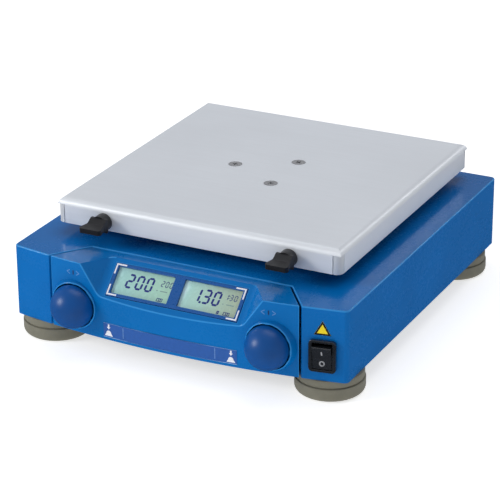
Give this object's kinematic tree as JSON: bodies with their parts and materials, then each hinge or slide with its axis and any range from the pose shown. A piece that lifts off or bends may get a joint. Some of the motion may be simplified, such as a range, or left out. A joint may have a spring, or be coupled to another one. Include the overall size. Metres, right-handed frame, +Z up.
{
  "type": "orbital shaker",
  "caption": "Benchtop orbital shaker with a square tray platform on a low blue housing, bowed control panel with two push-and-turn knobs and twin displays, rocker switch and rubber feet.",
  "frame": {"origin": "middle of the footprint, on the surface that the feet stand on", "axes": "+X to the operator's right, +Y to the rear, +Z up; the control panel faces -Y"},
  "size_m": [0.27, 0.3104, 0.098],
  "materials": {
    "housing_paint": "glossy bright blue paint on a cast housing",
    "panel_blue": "glossy bright blue moulded plastic",
    "knob_blue": "satin deep blue moulded plastic",
    "bezel_film": "violet-blue printed film",
    "white_print": "white screen print",
    "yellow_film": "plain yellow film with a dark edge",
    "lcd": "grey-green liquid crystal display",
    "circuit_board": "green solder mask with dark components",
    "black_plastic": "fine-grained black moulding",
    "white_plastic": "white acetal",
    "flat_cable": "grey ribbon cable",
    "foot_rubber": "grey-beige rubber, fine moulded surface",
    "black_rubber": "black rubber",
    "tray_aluminium": "brushed and clear anodised sheet",
    "cast_aluminium": "machined casting",
    "plate_steel": "zinc-plated sheet",
    "bright_steel": "ground steel",
    "brass": "machined brass",
    "copper_winding": "enamelled copper winding"
  },
  "bodies": {
    "base": {"housing": "housing_paint", "base_plate": "plate_steel", "control_panel": "panel_blue", "display_bezel": "bezel_film", "bezel_marks": "white_print", "lcd_left": "lcd", "lcd_right": "lcd", "display_board": "circuit_board", "main_board": "circuit_board", "ribbon_cable": "flat_cable", "label_strip": "bezel_film", "plain_sticker": "yellow_film", "encoder_left": "black_plastic", "encoder_right": "black_plastic", "switch_frame": "black_plastic", "foot_front_left": "foot_rubber", "foot_front_right": "foot_rubber", "foot_rear_left": "foot_rubber", "foot_rear_right": "foot_rubber", "foot_screws": "bright_steel", "foot_nuts": "bright_steel", "case_screws": "bright_steel", "drive_frame": "cast_aluminium", "spindle_bearings": "bright_steel", "shaft_seals": "black_rubber", "guide_posts": "cast_aluminium", "guide_bearings_lower": "bright_steel", "motor_can": "cast_aluminium", "motor_stator": "copper_winding", "drive_belt": "black_rubber", "power_inlet": "black_plastic", "inlet_pins": "bright_steel", "power_board": "circuit_board", "serial_port": "plate_steel"},
    "crank": {"crank_spindle": "bright_steel", "drive_pulley": "cast_aluminium", "counterweight": "brass"},
    "platform": {"carrier": "cast_aluminium", "eccentric_bearing": "bright_steel", "guide_bearings_upper": "bright_steel", "platform": "tray_aluminium", "corner_posts": "tray_aluminium", "platform_screws": "bright_steel", "lever_studs": "bright_steel"},
    "guide_left": {"guide_crank_left": "bright_steel"},
    "guide_right": {"guide_crank_right": "bright_steel"},
    "guide_front": {"guide_crank_front": "bright_steel"},
    "motor": {"motor_rotor": "bright_steel", "motor_pulley": "cast_aluminium"},
    "detent_left": {"encoder_rotor_left": "white_plastic"},
    "detent_right": {"encoder_rotor_right": "white_plastic"},
    "dial_left": {"knob_left": "knob_blue", "encoder_shaft_left": "bright_steel"},
    "dial_right": {"knob_right": "knob_blue", "encoder_shaft_right": "bright_steel"},
    "rocker": {"power_rocker": "black_plastic"},
    "lever_left": {"clamp_lever_left": "black_plastic"},
    "lever_right": {"clamp_lever_right": "black_plastic"},
    "drawer": {"fuse_drawer": "black_plastic", "fuses": "white_plastic"}
  },
  "joints": [
    {"name": "drive_spin", "type": "hinge", "parent": "base", "child": "crank", "pos_m": [0, 0.02325, 0.05], "axis": [0, 0, 1], "continuous": true},
    {"name": "platform_orbit", "type": "hinge", "parent": "crank", "child": "platform", "pos_m": [-0.002, 0.02325, 0.084], "axis": [0, 0, 1], "continuous": true},
    {"name": "guide_left_spin", "type": "hinge", "parent": "base", "child": "guide_left", "pos_m": [-0.07101, 0.06425, 0.0635], "axis": [0, 0, 1], "continuous": true},
    {"name": "guide_right_spin", "type": "hinge", "parent": "base", "child": "guide_right", "pos_m": [0.07101, 0.06425, 0.0635], "axis": [0, 0, 1], "continuous": true},
    {"name": "guide_front_spin", "type": "hinge", "parent": "base", "child": "guide_front", "pos_m": [0, -0.05875, 0.0635], "axis": [0, 0, 1], "continuous": true},
    {"name": "motor_spin", "type": "hinge", "parent": "base", "child": "motor", "pos_m": [0, 0.10325, 0.04], "axis": [0, 0, 1], "continuous": true},
    {"name": "knob_left_turn", "type": "hinge", "parent": "base", "child": "detent_left", "pos_m": [-0.0772, -0.12375, 0.0378], "axis": [0, 1, 0], "continuous": true},
    {"name": "knob_left_push", "type": "slide", "parent": "detent_left", "child": "dial_left", "axis": [0, 1, 0], "range_m": [0, 0.0015], "stiffness_N_per_m": 900, "springref_m": -0.0018},
    {"name": "knob_right_turn", "type": "hinge", "parent": "base", "child": "detent_right", "pos_m": [0.0772, -0.12375, 0.0378], "axis": [0, 1, 0], "continuous": true},
    {"name": "knob_right_push", "type": "slide", "parent": "detent_right", "child": "dial_right", "axis": [0, 1, 0], "range_m": [0, 0.0015], "stiffness_N_per_m": 900, "springref_m": -0.0018},
    {"name": "rocker_press", "type": "hinge", "parent": "base", "child": "rocker", "pos_m": [0.11422, -0.12659, 0.0358], "axis": [0.9855, 0.1697, 0], "range_deg": [-18, 0]},
    {"name": "lever_left_turn", "type": "hinge", "parent": "platform", "child": "lever_left", "pos_m": [-0.0758, -0.09375, 0.0862], "axis": [0, 1, 0], "range_deg": [0, 90]},
    {"name": "lever_right_turn", "type": "hinge", "parent": "platform", "child": "lever_right", "pos_m": [0.0718, -0.09375, 0.0862], "axis": [0, 1, 0], "range_deg": [-90, 0]},
    {"name": "fuse_drawer_slide", "type": "slide", "parent": "base", "child": "drawer", "axis": [0, 1, 0], "range_m": [0, 0.015]}
  ],
  "couplings": [
    {"joint": "platform_orbit", "follows": "drive_spin", "ratio": -1},
    {"joint": "guide_left_spin", "follows": "drive_spin", "ratio": 1},
    {"joint": "guide_right_spin", "follows": "drive_spin", "ratio": 1},
    {"joint": "guide_front_spin", "follows": "drive_spin", "ratio": 1},
    {"joint": "motor_spin", "follows": "drive_spin", "ratio": 2.5}
  ]
}
